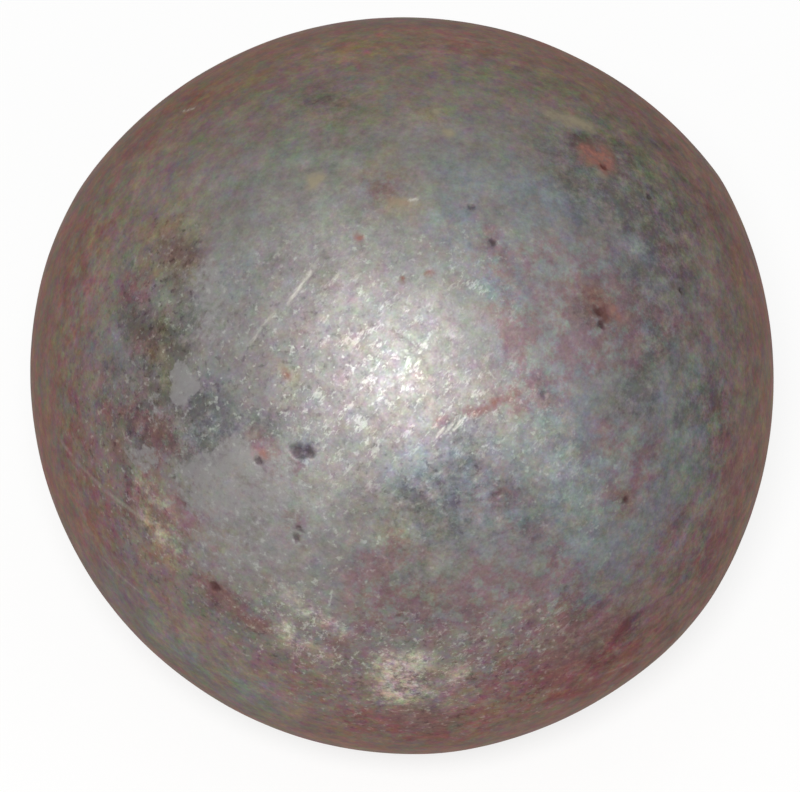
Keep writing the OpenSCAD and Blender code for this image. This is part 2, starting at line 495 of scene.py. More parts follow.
        Patch((-14, 18), (14, 18), 8, 0.3), Patch((-50, -18), (-38, -30), 10, 0.6),
        Patch((-26, -28), (-18, -34), 8, 0.8), Patch((-24, -44), (14, -44), 12, 0.85),
        Patch((14, -44), (26, -40), 8, 0.6), Patch((-15, -60), (34, -56), 10, 0.6),
        Patch((14, -6), (30, -20), 10, 0.4), Patch((-31, 1.6), (-29.5, 1), 1.2, 0.9),
        spot((-37, 19.5), 0.8, 0.8), spot((-51.1, 44.6), 1.5, 0.9, 0.6),
        Patch((-28, -16), (-16, -20), 10, 0.5),
    ),
    Layer.PIT: (
        Patch((-15.2, -10.1), (-13.9, -10.2), 0.7, 0.4, 0.6),
        Patch((29.2, 9.4), (29.4, 7.9), 0.8, 0.55, 0.6), spot((10.5, 25.2), 0.7, 0.5, 0.6),
    ),
    Layer.PORE: (
        Patch((-10, 8), (8, -8), 18, 0.4), Patch((-45, 12), (-20, 0), 16, 0.5),
        Patch((-55, -6), (-38, -8), 12, 0.7), Patch((-38, 20), (-38, 2), 6, 0.9),
        Patch((-52, -18), (-40, -34), 10, 0.6), Patch((-22, -42), (24, -44), 12, 0.8),
        Patch((-15, -60), (34, -56), 10, 0.6), Patch((-2, -16), (8, -16), 9, 0.6),
    ),
}

# Cover that a layer has all over, apart from its patches.
SCATTER = {
    Layer.PALE: 0.12,
    Layer.DARK: 0.12,
    Layer.BLUE: 0.12,
    Layer.YELLOW: 0.12,
    Layer.RED: 0.15,
    Layer.OLIVE: 0.12,
    Layer.STROKE: 0.04,
    Layer.GLINT: 0.08,
    Layer.PORE: 0.12,
}

# Layers that lie in blots over the far side. Each is the millimetres from one blot to the next, and
# the cover in a blot's middle.
FAR_BLOTS = {
    Layer.DARK: (11.0, 0.5),
    Layer.PALE: (13.0, 0.6),
    Layer.BLUE: (15.0, 0.5),
    Layer.RED: (9.0, 0.6),
    Layer.OLIVE: (12.0, 0.6),
    Layer.ISLAND: (8.0, 0.3),
    Layer.RUST: (6.0, 0.4),
    Layer.WORN_AND_REFLECTION: (10.0, 0.15),
    Layer.GLINT: (12.0, 0.5),
    Layer.PORE: (10.0, 0.6),
}


@dataclass
class BallSkin:
    """The ball's outer skin, as one closed mesh with its finish's layers as attributes.

    Args:
        radius: radius of the unworn ball.
        rounds: how finely the whole ball is divided.
        fine_reach: degrees from the marked face's middle within which it is divided once more.
        crease: metres over which a flat's edge is eased.
        swell: height and length of the skin's slow waves.
        dimple: height and length of its small waves.
        step: how far smooth scale stands above the steel.
        step_edge: covers of smooth scale between which the step rises.
        far_side: degrees from the marked face's middle where the far side's blots start, and where
            they are at their strongest.
        film_least: cover of the rust film in the marked face's middle.
        film_and_rim_reflection_span: degrees from there where the film starts to thicken, and where it
            is whole. The thickening is partly painted rim reflection.
        blot_edge: heights of the noise between which a blot's edge fades.
        blot_shift: how far apart the blots' noises lie.
        bald_length: metres from one thin place in the far side's film to the next.
        bald_edge: heights of the noise between which a thin place's edge fades.
        bald_share: how much of the film a thin place lacks.
        blue_share: how much of the film blue tarnish keeps away.
        strays: length and strength of each noise that strays the patches' outlines.
        pit_stray: share of that straying that the pits take up.
        pit_ragged: how far noise draws a pit out of round.
        pit_lump: length of that noise, as a share of the pit's mouth.
        pit_reach: distance from a pit's middle beyond which it changes nothing, in mouths.
        pit_fine: the same, within which the skin is divided more finely.
        seed: which noises stray the outlines.
    """

    radius: float = FORGED_RADIUS
    rounds: int = 7
    fine_reach: float = 72.0
    crease: float = 0.05 * MM
    swell: tuple[float, float] = (0.035 * MM, 9.0 * MM)
    dimple: tuple[float, float] = (0.010 * MM, 1.8 * MM)
    step: float = 0.02 * MM
    step_edge: tuple[float, float] = (0.45, 0.7)
    far_side: tuple[float, float] = (68.0, 100.0)
    film_least: float = 0.01
    film_and_rim_reflection_span: tuple[float, float] = (24.0, 80.0)
    blot_edge: tuple[float, float] = (0.05, 0.4)
    blot_shift: float = 5.0
    bald_length: float = 14.0 * MM
    bald_edge: tuple[float, float] = (0.0, 0.45)
    bald_share: float = 0.6
    blue_share: float = 0.5
    strays: tuple[tuple[float, float], ...] = ((8.0 * MM, 0.015), (3.5 * MM, 0.020), (1.5 * MM, 0.010))
    pit_stray: float = 0.15
    pit_ragged: float = 0.5
    pit_lump: float = 0.5
    pit_reach: float = 1.2
    pit_fine: float = 0.9
    seed: int = 3

    def build(self) -> bpy.types.Object:
        """Models and dresses the ball.

        Returns:
            The ball's object, at the origin.
        """
        form = bmesh.new()
        bmesh.ops.create_icosphere(form, subdivisions=self.rounds, radius=self.radius)
        self._divide_marked_face(form)
        self._divide_marks(form)
        mesh = bpy.data.meshes.new("steel_ball_skin")
        form.to_mesh(mesh)
        form.free()
        self._shape(mesh)
        mesh.polygons.foreach_set("use_smooth", np.ones(len(mesh.polygons), dtype=bool))
        mesh.update()
        piece = bpy.data.objects.new("steel_ball_skin", mesh)
        bpy.context.scene.collection.objects.link(piece)
        self._dress(piece)
        return piece

    @staticmethod
    def _dress(piece: bpy.types.Object) -> None:
        """Gives the ball its finish, and the body and node that it stands for.

        Args:
            piece: the ball's object.
        """
        piece.data.materials.append(ForgedSteel().material())
        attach(piece, BODY)
        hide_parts(CAD_NODE)

    def pits(self) -> list[Pit]:
        """All the ball's pits, those of the far side included.

        Returns:
            The pits, from the widest of the marked face to the far side's.
        """
        far = [self._far_place(count) for count in range(FAR_PITS)]
        kinds = (*MARKED_PITS, (MIDDLING, FAR_DARK, far))
        return [Pit(place, *size, dark) for size, dark, places in kinds for place in places]

    @staticmethod
    def _far_place(count: int) -> Place:
        """Place of one far pit: each is a little further back and a fixed turn on.

        Args:
            count: the pit's number, from 0.

        Returns:
            Its place.
        """
        ahead = 1.0 - 2.0 * (FAR_START + (1.0 - FAR_START) * (count + 0.5) / FAR_PITS)
        turn = math.radians(FAR_TURN * count)
        aside = math.sqrt(1.0 - ahead * ahead)
        right = math.degrees(math.atan2(aside * math.cos(turn), ahead))
        return right, math.degrees(math.asin(aside * math.sin(turn)))

    @staticmethod
    def _divide(form: bmesh.types.BMesh, chosen: np.ndarray) -> None:
        """Halves the edges between chosen vertices.

        Args:
            form: the ball so far.
            chosen: for each vertex, whether it is chosen.
        """
        form.verts.index_update()
        edges = [edge for edge in form.edges if all(chosen[vert.index] for vert in edge.verts)]
        bmesh.ops.subdivide_edges(form, edges=edges, cuts=1, use_grid_fill=True)
        bmesh.ops.triangulate(form, faces=[face for face in form.faces if len(face.verts) > 3])

    @staticmethod
    def _spots(form: bmesh.types.BMesh) -> np.ndarray:
        """Unit vector to each vertex."""
        spots = np.array([vert.co[:] for vert in form.verts])
        return spots / np.linalg.norm(spots, axis=1, keepdims=True)

    def _divide_marked_face(self, form: bmesh.types.BMesh) -> None:
        """Divides the marked face once more."""
        near = self._spots(form) @ way((0, 0)) > math.cos(math.radians(self.fine_reach))
        self._divide(form, near)

    def _divide_marks(self, form: bmesh.types.BMesh) -> None:
        """Divides the skin once more around its pits and scratches.

        Args:
            form: the ball so far.
        """
        spots = self._spots(form)
        near = np.zeros(len(spots), dtype=bool)
        for pit in self.pits():
            near |= self._gap(spots, pit) < self.pit_fine * pit.mouth
        for scratch in SCRATCHES:
            near |= scratch.surround().cover_at(spots, self.radius) > 0.5
        self._divide(form, near)

    def _gap(self, spots: np.ndarray, pit: Pit) -> np.ndarray:
        """Distance from a pit's middle to each spot."""
        return np.linalg.norm(spots - way(pit.place), axis=1) * self.radius

    def _shape(self, mesh: bpy.types.Mesh) -> None:
        """Moves the skin to its worn, pitted form, and gives it its layers.

        Args:
            mesh: the divided ball.
        """
        corners = np.empty(len(mesh.vertices) * 3)
        mesh.vertices.foreach_get("co", corners)
        spots = corners.reshape(-1, 3)
        spots = spots / np.linalg.norm(spots, axis=1, keepdims=True)
        strayed = self._strayed(spots)
        layers = self._layers(strayed)
        reach = self._worn_reach(spots)
        reach += self._waves(spots)
        reach += self.step * smooth_step(*self.step_edge, layers[Layer.ISLAND])
        self._scratch(spots, reach, layers)
        self._pit(spots, strayed, reach, layers)
        mesh.vertices.foreach_set("co", (spots * reach[:, None]).ravel())
        for layer, cover in layers.items():
            mesh.attributes.new(layer.value, "FLOAT", "POINT").data.foreach_set("value", cover)

    def _layers(self, strayed: np.ndarray) -> dict[Layer, np.ndarray]:
        """Cover of each layer: its patches, what it has all over, and the far side's blots.

        Args:
            strayed: unit vectors, turned a little by noise.

        Returns:
            The covers, by layer.
        """
        layers = {
            layer: self._cover(patches, strayed, SCATTER.get(layer, 0.0))
            for layer, patches in PATCHES.items()
        }
        away = np.degrees(np.arccos(np.clip(strayed @ way((0, 0)), -1.0, 1.0)))
        far = smooth_step(*self.far_side, away)
        for number, (layer, (length, cover)) in enumerate(FAR_BLOTS.items()):
            lumps = self._lumps(strayed, length * MM, self.blot_shift * number)
            blots = smooth_step(*self.blot_edge, lumps)
            layers[layer] = 1.0 - (1.0 - layers[layer]) * (1.0 - cover * far * blots)
        bald = smooth_step(*self.bald_edge, self._lumps(strayed, self.bald_length, -self.blot_shift))
        open_share = 1.0 - self._film_and_rim_reflection(away) * (1.0 - self.bald_share * far * bald)
        layers[Layer.FILM_AND_RIM_REFLECTION] = (1.0 - open_share) * (1.0 - self.blue_share * layers[Layer.BLUE])
        return layers

    def _scratch(self, spots: np.ndarray, reach: np.ndarray, layers: dict[Layer, np.ndarray]) -> None:
        """Sinks the scratches into the skin, and bares their metal.

        Args:
            spots: unit vectors.
            reach: the skin's distance from the ball's middle, which this changes.
            layers: the covers, which this adds to.
        """
        layers[Layer.SCRATCH] = np.zeros(len(spots))
        for scratch in SCRATCHES:
            strip = scratch.strip().cover_at(spots, self.radius)
            reach -= scratch.depth * MM * strip
            layers[Layer.SCRATCH] = np.maximum(layers[Layer.SCRATCH], scratch.bright * strip)

    def _pit(
        self, spots: np.ndarray, strayed: np.ndarray, reach: np.ndarray, layers: dict[Layer, np.ndarray]
    ) -> None:
        """Sinks the pits into the skin, and darkens their floors.

        Args:
            spots: unit vectors.
            strayed: the same, turned a little by noise.
            reach: the skin's distance from the ball's middle, which this changes.
            layers: the covers, which this adds to.
        """
        for pit in self.pits():
            gap = self._gap(strayed * self.pit_stray + spots * (1.0 - self.pit_stray), pit)
            near = np.flatnonzero(gap < self.pit_reach * pit.mouth)
            ragged = self._lumps(spots[near], self.pit_lump * pit.mouth)
            gap = gap[near] * (1.0 + self.pit_ragged * ragged)
            reach[near] -= pit.drop(gap)
            layers[Layer.PIT][near] = np.maximum(layers[Layer.PIT][near], pit.floor(gap))

    def _lumps(self, spots: np.ndarray, length: float, shift: float = 0.0) -> np.ndarray:
        """Noise at each spot.

        Args:
            spots: unit vectors.
            length: metres from one lump to the next.
            shift: how far into the noise the ball lies, which tells one noise from another.

        Returns:
            The noise, from about -1 to 1.
        """
        offset = Vector((shift, shift, shift))
        return np.array([noise.noise(Vector(unit) * (self.radius / length) + offset) for unit in spots])

    def _strayed(self, spots: np.ndarray) -> np.ndarray:
        """Vectors turned a little by noise, which gives each patch a ragged outline.

        Args:
            spots: unit vectors.

        Returns:
            The turned unit vectors.
        """
        noise.seed_set(self.seed)
        turned = np.empty_like(spots)
        for number, unit in enumerate(spots):
            point = Vector(unit) * self.radius
            turn = Vector(unit)
            for length, strength in self.strays:
                turn += noise.noise_vector(point / length) * strength
            turned[number] = turn
        return turned / np.linalg.norm(turned, axis=1, keepdims=True)

    def _cover(self, patches: tuple[Patch, ...], spots: np.ndarray, scatter: float) -> np.ndarray:
        """Joint cover of several patches.

        Args:
            patches: the patches of one layer.
            spots: unit vectors.
            scatter: cover that the layer has all over.

        Returns:
            The cover at each spot.
        """
        open_share = np.full(len(spots), 1.0 - scatter)
        for patch in patches:
            open_share *= 1.0 - patch.cover_at(spots, self.radius)
        return 1.0 - open_share

    def _film_and_rim_reflection(self, away: np.ndarray) -> np.ndarray:
        """Cover of the thin rust film, which the marked face has least of. Its growth towards the
        outline is partly real rust and partly painted rim reflection.

        Args:
            away: degrees from the marked face's middle.

        Returns:
            The cover at each spot.
        """
        return self.film_least + (1.0 - self.film_least) * smooth_step(*self.film_and_rim_reflection_span, away)

    def _worn_reach(self, spots: np.ndarray) -> np.ndarray:
        """Distance from the ball's middle to its worn skin, with eased edges.

        Args:
            spots: unit vectors.

        Returns:
            The distance along each.
        """
        reaches = np.stack(
            [np.full(len(spots), self.radius)] + [flat.reach(spots, self.radius) for flat in FLATS]
        )
        least = reaches.min(axis=0)
        return least - self.crease * np.log(np.exp((least - reaches) / self.crease).sum(axis=0))

    def _waves(self, spots: np.ndarray) -> np.ndarray:
        """Height of the skin's slow and small waves.

        Args:
            spots: unit vectors.

        Returns:
            The height at each, below the forged skin.
        """
        heights = np.empty(len(spots))
        for number, unit in enumerate(spots):
            point = Vector(unit) * self.radius
            heights[number] = sum(
                height * (noise.noise(point / length) - 1.0)
                for height, length in (self.swell, self.dimple)
            )
        return heights


class Sheet:
    """A node tree as it is laid out."""

    def __init__(self, tree: bpy.types.NodeTree) -> None:
        """Starts from a tree.

        Args:
            tree: where the nodes go.
        """
        self.tree = tree

    def feed(self, socket: Socket, source: Feed) -> None:
        """Links a socket, or sets its constant.

        Args:
            socket: the input.
            source: another node's output, a number or a colour.
        """
        if isinstance(source, Socket):
            self.tree.links.new(source, socket)
        elif isinstance(source, tuple) and socket.type == "RGBA":
            socket.default_value = (*source, 1.0)
        else:
            socket.default_value = source

    def node(
        self, kind: str, inputs: dict[str | int, Feed] | None = None,
        group: bpy.types.NodeTree | None = None, **settings: object,
    ) -> bpy.types.Node:
        """Adds a node.

        Args:
            kind: Blender's name for it, without its first word.
            inputs: what its sockets take.
            group: the group that it places, if it is a group node.
            settings: its own properties.

        Returns:
            The node.
        """
        node = self.tree.nodes.new("ShaderNode" + kind)
        if group:
            node.node_tree = group
        for name, value in settings.items():
            setattr(node, name, value)
        for name, source in (inputs or {}).items():
            self.feed(node.inputs[name], source)
        return node

    def math(
        self, operation: str, first: Feed, second: Feed = 0.0, third: Feed = 0.0, clamp: bool = False
    ) -> Socket:
        """Works out one sum.

        Args:
            operation: Blender's name for it.
            first: the first number.
            second: the second number.
            third: the third number, where the sum takes one.
            clamp: whether the result is kept from 0 to 1.

        Returns:
            The result.
        """
        inputs = {0: first, 1: second, 2: third}
        return self.node("Math", inputs, operation=operation, use_clamp=clamp).outputs[0]

    def ramp(self, value: Feed, low: Feed, high: Feed, start: Feed = 0.0, end: Feed = 1.0) -> Socket:
        """Carries a value from one range to another, and stops at its ends.

        Args:
            value: the value.
            low: its lowest.
            high: its highest.
            start: what low becomes.
            end: what high becomes.

        Returns:
            The new value.
        """
        inputs = {"Value": value, "From Min": low, "From Max": high, "To Min": start, "To Max": end}
        return self.node("MapRange", inputs).outputs["Result"]

    def mix(self, share: Feed, under: Feed, over: Feed, blend: str = "MIX") -> Socket:
        """Lays one colour over another.

        Args:
            share: how much of the upper one shows.
            under: the lower colour.
            over: the upper colour.
            blend: Blender's name for how they mix.

        Returns:
            The mixed colour.
        """
        node = self.node("Mix", data_type="RGBA", blend_type=blend, clamp_factor=True)
        self.feed(node.inputs[0], share)
        self.feed(node.inputs[6], under)
        self.feed(node.inputs[7], over)
        return node.outputs[2]

    def blend(self, share: Feed, under: Feed, over: Feed) -> Socket:
        """Mixes two numbers.

        Args:
            share: how much of the upper one counts.
            under: the lower number.
            over: the upper number.

        Returns:
            The mixed number.
        """
        node = self.node("Mix", data_type="FLOAT", clamp_factor=True)
        for index, source in ((0, share), (2, under), (3, over)):
            self.feed(node.inputs[index], source)
        return node.outputs[0]

    def noise(self, where: Feed, length: float, detail: float, rough: float) -> tuple[Socket, ...]:
        """Adds three unlike noises of one scale.

        Args:
            where: the point, in millimetres.
            length: millimetres from one lump to the next.
            detail: how many finer noises each holds.
            rough: how strong those are.

        Returns:
            The three noises.
        """
        inputs = {"Vector": where, "Scale": 1.0 / length, "Detail": detail, "Roughness": rough}
        cloud = self.node("TexNoise", inputs, noise_dimensions="3D")
        parts = self.node("SeparateColor", {0: cloud.outputs["Color"]})
        return tuple(parts.outputs[:3])


def blank_tree(owner: bpy.types.Material | bpy.types.World) -> bpy.types.NodeTree:
    """Empties the node tree of a material or of the surroundings.

    Args:
        owner: what the tree belongs to.

    Returns:
        The empty tree.
    """
    owner.use_nodes = True
    owner.node_tree.nodes.clear()
    return owner.node_tree


class CoverGroup:
    """Node group that breaks a cover up by a noise. Each kind works its mask out in its own way."""

    NAME = ""
    LEVELS: tuple[str, ...] = ()

    @classmethod
    def tree(cls) -> bpy.types.NodeTree:
        """The group, which is built the first time that it is asked for."""
        return bpy.data.node_groups.get(cls.NAME) or cls._build()

    @classmethod
    def _build(cls) -> bpy.types.NodeTree:
        """Builds the group.

        Returns:
            Its tree.
        """
        tree = bpy.data.node_groups.new(cls.NAME, "ShaderNodeTree")
        names = ("Cover", "Noise", *cls.LEVELS)
        for name in names:
            tree.interface.new_socket(name=name, in_out="INPUT", socket_type="NodeSocketFloat")
        tree.interface.new_socket(name="Mask", in_out="OUTPUT", socket_type="NodeSocketFloat")
        given = tree.nodes.new("NodeGroupInput")
        result = tree.nodes.new("NodeGroupOutput")
        mask = cls.mask(Sheet(tree), *(given.outputs[name] for name in names))
        tree.links.new(mask, result.inputs["Mask"])
        return tree

    @staticmethod
    def mask(sheet: Sheet, cover: Socket, grain: Socket, *levels: Socket) -> Socket:
        """Works out the mask.

        Args:
            sheet: where the nodes go.
            cover: the cover.
            grain: the noise.
            levels: the kind's own settings.

        Returns:
            The mask.
        """
        raise NotImplementedError


class PatchyCover(CoverGroup):
    """Patches with ragged edges: they show where the noise is above a level that the cover lowers."""

    NAME = "patchy_cover"
    LEVELS = ("Edge",)
    # Heights of the noise that are spread out to the full range.
    SPREAD = (0.41, 0.59)

    @staticmethod
    def mask(sheet: Sheet, cover: Socket, grain: Socket, *levels: Socket) -> Socket:
        """Works out the mask.

        Args:
            sheet: where the nodes go.
            cover: the cover.
            grain: the noise.
            levels: how wide the patches' edges are.

        Returns:
            The mask.
        """
        edge, = levels
        spread = sheet.ramp(grain, *PatchyCover.SPREAD)
        highest = sheet.math("ADD", 1.0, edge)
        lowest = sheet.math("MULTIPLY", edge, -1.0)
        level = sheet.blend(cover, highest, lowest)
        return sheet.ramp(spread, sheet.math("SUBTRACT", level, edge), sheet.math("ADD", level, edge))


class CloudyCover(CoverGroup):
    """A soft cloud: the noise raises and lowers the cover by a share of itself."""

    NAME = "cloudy_cover"
    LEVELS = ("Contrast",)

    @staticmethod
    def mask(sheet: Sheet, cover: Socket, grain: Socket, *levels: Socket) -> Socket:
        """Works out the mask, with a contrast that says how strongly the noise counts."""
        lift = sheet.math("MULTIPLY", sheet.math("SUBTRACT", grain, 0.5), *levels)
        return sheet.math("MULTIPLY", cover, sheet.math("ADD", lift, 1.0), clamp=True)


class SparseCover(CoverGroup):
    """Specks or strokes: only the noise's highest lumps are kept, times the cover."""

    NAME = "sparse_cover"
    LEVELS = ("Low", "High")

    @staticmethod
    def mask(sheet: Sheet, cover: Socket, grain: Socket, *levels: Socket) -> Socket:
        """Works out the mask, with the noise's heights where a lump starts and where it is whole."""
        return sheet.math("MULTIPLY", cover, sheet.ramp(grain, *levels), clamp=True)


# Layers and the number that each brings, from the lowest up.
Steps = tuple[tuple[Layer, float], ...]


@dataclass(frozen=True)
class ForgedSteel:
    """Finish of forged steel under mill scale, tarnish and rust, with some painted highlight, glints,
    shade and rim reflection in its colour.

    Each colour is linear, and is what the surface reflects. A tint multiplies what lies under it.

    Args:
        graze_angle: degrees from level to the face's fine scratches.
        graze_stretch: how much slower the brushed noise runs along them.
        umber_edge: heights of the noise between which the film turns to umber.
        brick_edge: the same between which red rust turns to brick.
        island_share: how much of the colour smooth scale takes.
        shelter: how much smooth scale keeps pores and bright metal away.
        burnish_share: how far strokes and specks go from the lit colour, a painted glint, to their own
            colour.
        tones: how dark and how light the slow mottling makes the colour.
        brushed_tones: the same for the brushed noise.
        film_calm: how much of both the rust film takes away.
        hue_spread: strength of the changes of hue on bare scale and on the rust film.
        film_edge: covers of the film between which that strength rises.
        specular: how strongly the parts that aren't metal mirror.
        scale_metal: how metallic plain scale is.
        metal: the same for other layers, from the lowest up.
        scale_rough: roughness of plain scale, at its smoothest and roughest.
        rough: the same for other layers.
        grit: height of the grit, as a share of the brushed relief's.
        relief: metres that the finest relief stands up.
        island_relief: share of that relief on smooth scale.
    """

    scale: Colour = (0.207, 0.202, 0.203)
    # The rust film's two colours, which towards the outline also stand for painted rim reflection.
    film: Colour = (0.222, 0.108, 0.083)
    umber_film: Colour = (0.158, 0.132, 0.115)
    mauve_tint: Colour = (1.02, 0.77, 1.16)
    olive_hint: Colour = (0.98, 1.26, 0.84)
    warm_tint: Colour = (1.14, 0.95, 0.92)
    cool_tint: Colour = (0.87, 1.05, 1.08)
    pale_tint: Colour = (1.38, 1.38, 1.33)
    dark_tint: Colour = (0.55, 0.55, 0.56)
    blue_tint: Colour = (0.86, 0.97, 1.11)
    yellow_tint: Colour = (1.08, 1.00, 0.78)
    red_tint: Colour = (0.98, 0.70, 0.76)
    crimson_tint: Colour = (1.01, 0.70, 0.77)
    olive_tint: Colour = (0.92, 1.04, 0.90)
    # Brightens worn patches; near the bottom of the marked face this brightening is painted reflection.
    worn_and_reflection_tint: Colour = (2.05, 2.13, 1.95)
    beige: Colour = (0.26, 0.23, 0.165)
    smooth: Colour = (0.246, 0.237, 0.236)
    red_rust: Colour = (0.120, 0.062, 0.060)
    brick_rust: Colour = (0.190, 0.105, 0.088)
    ochre_rust: Colour = (0.26, 0.115, 0.09)
    bare: Colour = (0.43, 0.42, 0.37)
    pit_tint: Colour = (0.50, 0.44, 0.47)
    pore_tint: Colour = (0.50, 0.46, 0.49)
    # The next two colours brighten strokes and specks: painted glints and painted highlight on bare
    # metal.
    burnished_and_glint: Colour = (0.393, 0.417, 0.375)
    painted_glint_tint: Colour = (1.84, 1.90, 1.82)
    edge_tint: Colour = (0.36, 0.21, 0.17)
    graze_angle: float = 52.0
    graze_stretch: float = 2.0
    umber_edge: tuple[float, float] = (0.42, 0.58)
    brick_edge: tuple[float, float] = (0.4, 0.65)
    island_share: float = 0.7
    shelter: float = 0.6
    burnish_share: float = 0.5
    tones: tuple[float, float] = (0.78, 1.22)
    brushed_tones: tuple[float, float] = (0.95, 1.05)
    film_calm: float = 0.35
    hue_spread: tuple[float, float] = (0.42, 1.0)
    film_edge: tuple[float, float] = (0.05, 0.5)
    specular: float = 0.25
    scale_metal: float = 0.85
    metal: Steps = (
        (Layer.FILM_AND_RIM_REFLECTION, 0.55), (Layer.DARK, 0.7), (Layer.RUST, 0.0), (Layer.OCHRE, 0.0),
        (Layer.STROKE, 1.0), (Layer.GLINT, 1.0), (Layer.SCRATCH, 1.0), (Layer.PIT, 0.7),
    )
    scale_rough: tuple[float, float] = (0.52, 0.61)
    rough: Steps = (
        (Layer.FILM_AND_RIM_REFLECTION, 0.62), (Layer.ISLAND, 0.54), (Layer.RUST, 0.8), (Layer.OCHRE, 0.85),
        (Layer.STROKE, 0.45), (Layer.GLINT, 0.5), (Layer.SCRATCH, 0.5), (Layer.PIT, 0.75),
    )
    grit: float = 0.5
    relief: float = 0.016 * MM
    island_relief: float = 0.25

    def material(self) -> bpy.types.Material:
        """Builds the material.

        Returns:
            The material, which reads the skin's layers.
        """
        material = bpy.data.materials.new(SLOT)
        SteelSheet(blank_tree(material), self).lay_out()
        return material

    def scratch_turn(self) -> Euler:
        """Turn from the ball's axes to its fine scratches' axes.

        Returns:
            The turn.
        """
        turn = math.radians(self.graze_angle)
        right, up = face_axes()
        along = right * math.cos(turn) + up * math.sin(turn)
        across = up * math.cos(turn) - right * math.sin(turn)
        return Matrix((along, across, along.cross(across))).transposed().to_euler()


